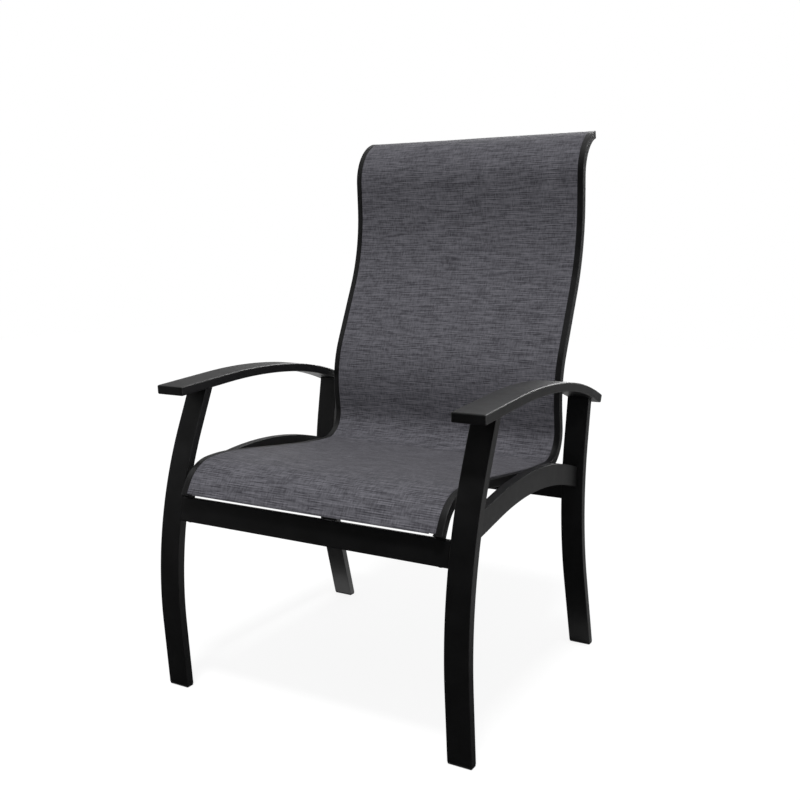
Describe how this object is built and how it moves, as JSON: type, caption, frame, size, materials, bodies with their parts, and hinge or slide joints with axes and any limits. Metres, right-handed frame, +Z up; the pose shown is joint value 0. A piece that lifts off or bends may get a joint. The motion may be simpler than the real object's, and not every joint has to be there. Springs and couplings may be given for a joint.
{
  "type": "sling patio chair",
  "caption": "High-backed outdoor armchair: a cloth sling stretched between two S-bent rails, on a bent aluminium frame with crowned armrests and arched side rails.",
  "frame": {"origin": "on the floor, on the middle line, midway between the chair's front and back", "axes": "+Z up, +X to the sitter's left, +Y to the back, so the chair faces -Y"},
  "size_m": [0.6984, 0.7214, 1.1163],
  "materials": {
    "powder_coat": "satin black powder coat over aluminium bar",
    "sling_cloth": "woven vinyl-coated polyester, heathered charcoal with fine crosswise slubs",
    "black_nylon": "moulded black nylon",
    "black_steel": "black-coated stainless steel"
  },
  "bodies": {
    "root": {"front_leg_left": "powder_coat", "rear_leg_left": "powder_coat", "armrest_left": "powder_coat", "side_rail_left": "powder_coat", "sling_rail_left": "powder_coat", "front_spacer_left": "powder_coat", "rear_tab_left": "powder_coat", "front_glide_left": "black_nylon", "rear_glide_left": "black_nylon", "rail_foot_cap_left": "black_nylon", "rail_head_cap_left": "black_nylon", "hem_rod_left": "black_nylon", "front_mount_screw_left": "black_steel", "rear_mount_screw_left": "black_steel", "front_leg_right": "powder_coat", "rear_leg_right": "powder_coat", "armrest_right": "powder_coat", "side_rail_right": "powder_coat", "sling_rail_right": "powder_coat", "front_spacer_right": "powder_coat", "rear_tab_right": "powder_coat", "front_glide_right": "black_nylon", "rear_glide_right": "black_nylon", "rail_foot_cap_right": "black_nylon", "rail_head_cap_right": "black_nylon", "hem_rod_right": "black_nylon", "front_mount_screw_right": "black_steel", "rear_mount_screw_right": "black_steel", "front_cross_rail": "powder_coat", "rear_cross_rail": "powder_coat", "seat_spreader": "powder_coat", "back_spreader": "powder_coat", "head_spreader": "powder_coat", "seat_spreader_plug_left": "black_nylon", "seat_spreader_screw_left": "black_steel", "seat_spreader_plug_right": "black_nylon", "seat_spreader_screw_right": "black_steel", "back_spreader_plug_left": "black_nylon", "back_spreader_screw_left": "black_steel", "back_spreader_plug_right": "black_nylon", "back_spreader_screw_right": "black_steel", "head_spreader_plug_left": "black_nylon", "head_spreader_screw_left": "black_steel", "head_spreader_plug_right": "black_nylon", "head_spreader_screw_right": "black_steel", "sling": "sling_cloth"}
  },
  "joints": []
}
